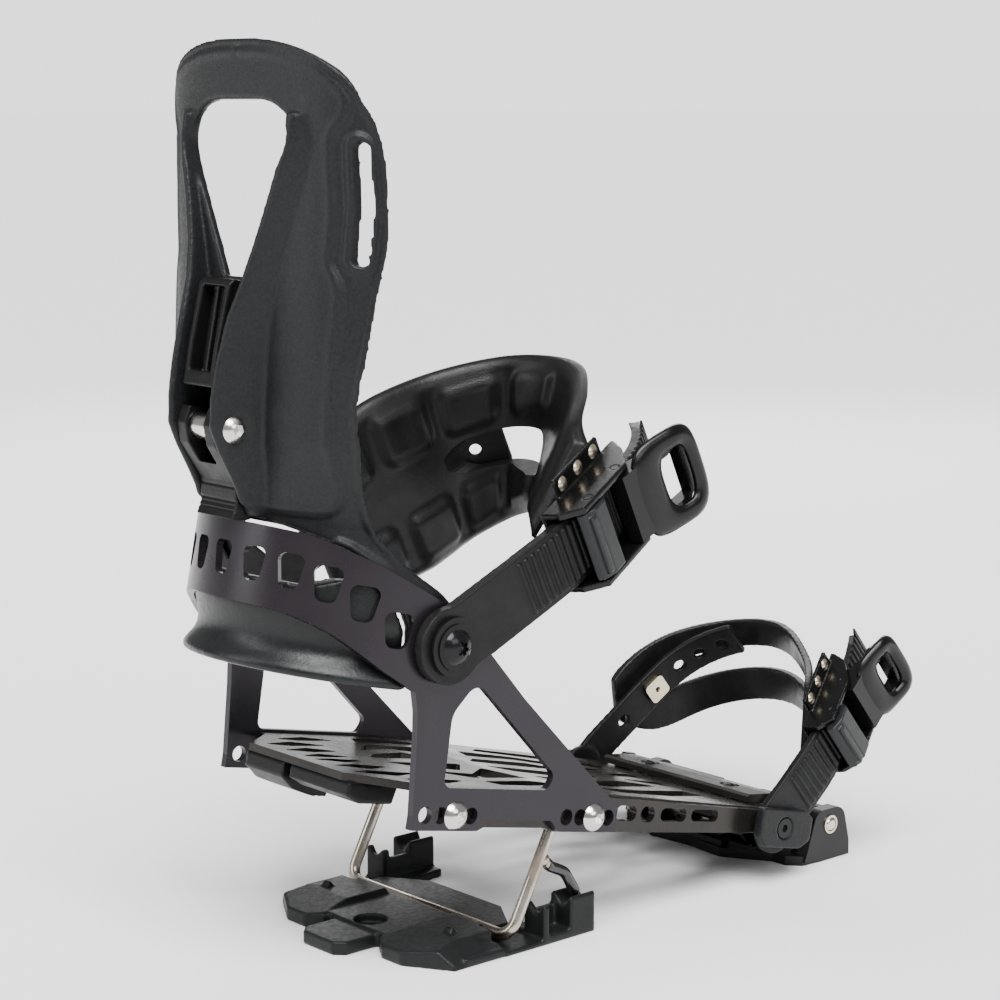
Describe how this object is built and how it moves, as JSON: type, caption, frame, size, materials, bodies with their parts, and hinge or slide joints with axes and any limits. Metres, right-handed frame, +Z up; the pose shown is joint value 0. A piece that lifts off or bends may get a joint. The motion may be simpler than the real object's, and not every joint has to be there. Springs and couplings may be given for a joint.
{
  "type": "splitboard binding",
  "caption": "Strap binding for split-board touring: pivots on toe pins in a board bracket, with ankle and toe straps, folding highback and wire heel riser on a heel rest.",
  "frame": {"origin": "centre of the touring bracket's four board screws, on the board's surface, straight below the toe pins", "axes": "+X from heel to toe along the board, +Y to the binding's far side (across the board), +Z up from the board"},
  "size_m": [0.3328, 0.1446, 0.3441],
  "materials": {
    "cup_anodised": "satin anodised",
    "plate_anodised": "satin anodised",
    "bracket_anodised": "satin anodised",
    "stainless": "satin",
    "bar_steel": "drawn wire, lightly stained",
    "brass": "satin",
    "nylon": "fine texture",
    "rest_nylon": "fine texture",
    "cradle_nylon": "semi-gloss",
    "latch_nylon": "fine texture",
    "ladder_rubber": "matte",
    "strap_rubber": "matte",
    "pad_fabric": "matte moulded",
    "buckle_gloss": "gloss",
    "buckle_grey": "satin",
    "dip_vinyl": "dipped vinyl, gloss",
    "black_steel": "black oxide"
  },
  "bodies": {
    "board_mounts": {"touring_bracket": "bracket_anodised", "bracket_bushings": "brass", "heel_rest": "rest_nylon"},
    "climbing_bar": {"climbing_wire": "bar_steel", "wire_tab": "bar_steel", "tab_grip": "dip_vinyl"},
    "base": {"baseplate": "plate_anodised", "toe_block": "latch_nylon", "ramp_hinge_pin": "stainless", "rail_screws": "stainless", "rail_nuts": "stainless", "heel_cup": "cup_anodised", "heel_cradle": "cradle_nylon", "heel_catch": "latch_nylon", "heel_stop_block": "latch_nylon", "toe_strap_mounts": "nylon", "toe_strap_screws": "black_steel", "ankle_screws": "black_steel", "ankle_washers": "latch_nylon", "ankle_nuts": "black_steel"},
    "snap_ramp": {"toe_ramp": "plate_anodised", "ramp_screws": "black_steel"},
    "pin_left": {"toe_pin_left": "stainless"},
    "pin_right": {"toe_pin_right": "stainless"},
    "back": {"highback": "nylon", "lean_barrel": "stainless", "lean_screws": "stainless", "lean_clip": "latch_nylon"},
    "lean_foot": {"lean_stop": "latch_nylon"},
    "ankle_strap": {"ankle_ladder": "ladder_rubber", "ankle_backstrap": "strap_rubber", "ankle_pad": "pad_fabric", "ankle_buckle_frame": "buckle_gloss", "ankle_rivets": "brass", "ankle_buckle_pins": "black_steel"},
    "ankle_lever": {"ankle_ratchet_lever": "buckle_gloss"},
    "ankle_release": {"ankle_release_lever": "buckle_grey"},
    "toe_strap": {"toe_ladder": "ladder_rubber", "toe_backstrap": "strap_rubber", "toe_cap": "pad_fabric", "toe_strap_nut": "brass", "toe_buckle_frame": "buckle_gloss", "toe_rivets": "brass", "toe_buckle_pins": "black_steel"},
    "toe_lever": {"toe_ratchet_lever": "buckle_gloss"},
    "toe_release": {"toe_release_lever": "buckle_grey"}
  },
  "joints": [
    {"name": "climbing_bar_hinge", "type": "hinge", "parent": "board_mounts", "child": "climbing_bar", "pos_m": [-0.18, 0, 0.0048], "axis": [0, 1, 0], "range_deg": [-100, 0]},
    {"name": "toe_pivot", "type": "hinge", "parent": "board_mounts", "child": "base", "pos_m": [0, 0, 0.0155], "axis": [0, 1, 0], "range_deg": [0, 55]},
    {"name": "ramp_hinge", "type": "hinge", "parent": "base", "child": "snap_ramp", "pos_m": [-0.02304, 0, 0.0286], "axis": [0, 1, 0], "range_deg": [0, 90]},
    {"name": "pin_left_slide", "type": "slide", "parent": "base", "child": "pin_left", "axis": [0, -1, 0], "range_m": [0, 0.0075]},
    {"name": "pin_right_slide", "type": "slide", "parent": "base", "child": "pin_right", "axis": [0, 1, 0], "range_m": [0, 0.0075]},
    {"name": "highback_hinge", "type": "hinge", "parent": "base", "child": "back", "pos_m": [-0.22124, 0, 0.12778], "axis": [0, 1, 0], "range_deg": [0, 40]},
    {"name": "lean_stop_hinge", "type": "hinge", "parent": "back", "child": "lean_foot", "pos_m": [-0.28076, 0, 0.20686], "axis": [0, 1, 0], "range_deg": [0, 110]},
    {"name": "ankle_strap_hinge", "type": "hinge", "parent": "base", "child": "ankle_strap", "pos_m": [-0.22124, 0, 0.12778], "axis": [0, 1, 0], "range_deg": [-8, 14]},
    {"name": "ankle_lever_hinge", "type": "hinge", "parent": "ankle_strap", "child": "ankle_lever", "pos_m": [-0.1305, -0.06154, 0.16894], "axis": [-0.4131, 0, 0.9107], "range_deg": [-75, 0]},
    {"name": "ankle_release_hinge", "type": "hinge", "parent": "ankle_strap", "child": "ankle_release", "pos_m": [-0.14985, -0.06725, 0.16016], "axis": [-0.4131, 0, 0.9107], "range_deg": [-14, 0]},
    {"name": "toe_strap_hinge", "type": "hinge", "parent": "base", "child": "toe_strap", "pos_m": [-0.04016, 0, 0.02374], "axis": [0, 1, 0], "range_deg": [-8, 10]},
    {"name": "toe_lever_hinge", "type": "hinge", "parent": "toe_strap", "child": "toe_lever", "pos_m": [0.01281, -0.05727, 0.06725], "axis": [-0.6347, 0, 0.7727], "range_deg": [-75, 0]},
    {"name": "toe_release_hinge", "type": "hinge", "parent": "toe_strap", "child": "toe_release", "pos_m": [0.00064, -0.0622, 0.05726], "axis": [-0.6347, 0, 0.7727], "range_deg": [-14, 0]}
  ],
  "couplings": [
    {"joint": "pin_left_slide", "follows": "ramp_hinge", "m_per_rad": 0.0047699},
    {"joint": "pin_right_slide", "follows": "ramp_hinge", "m_per_rad": 0.0047699}
  ]
}
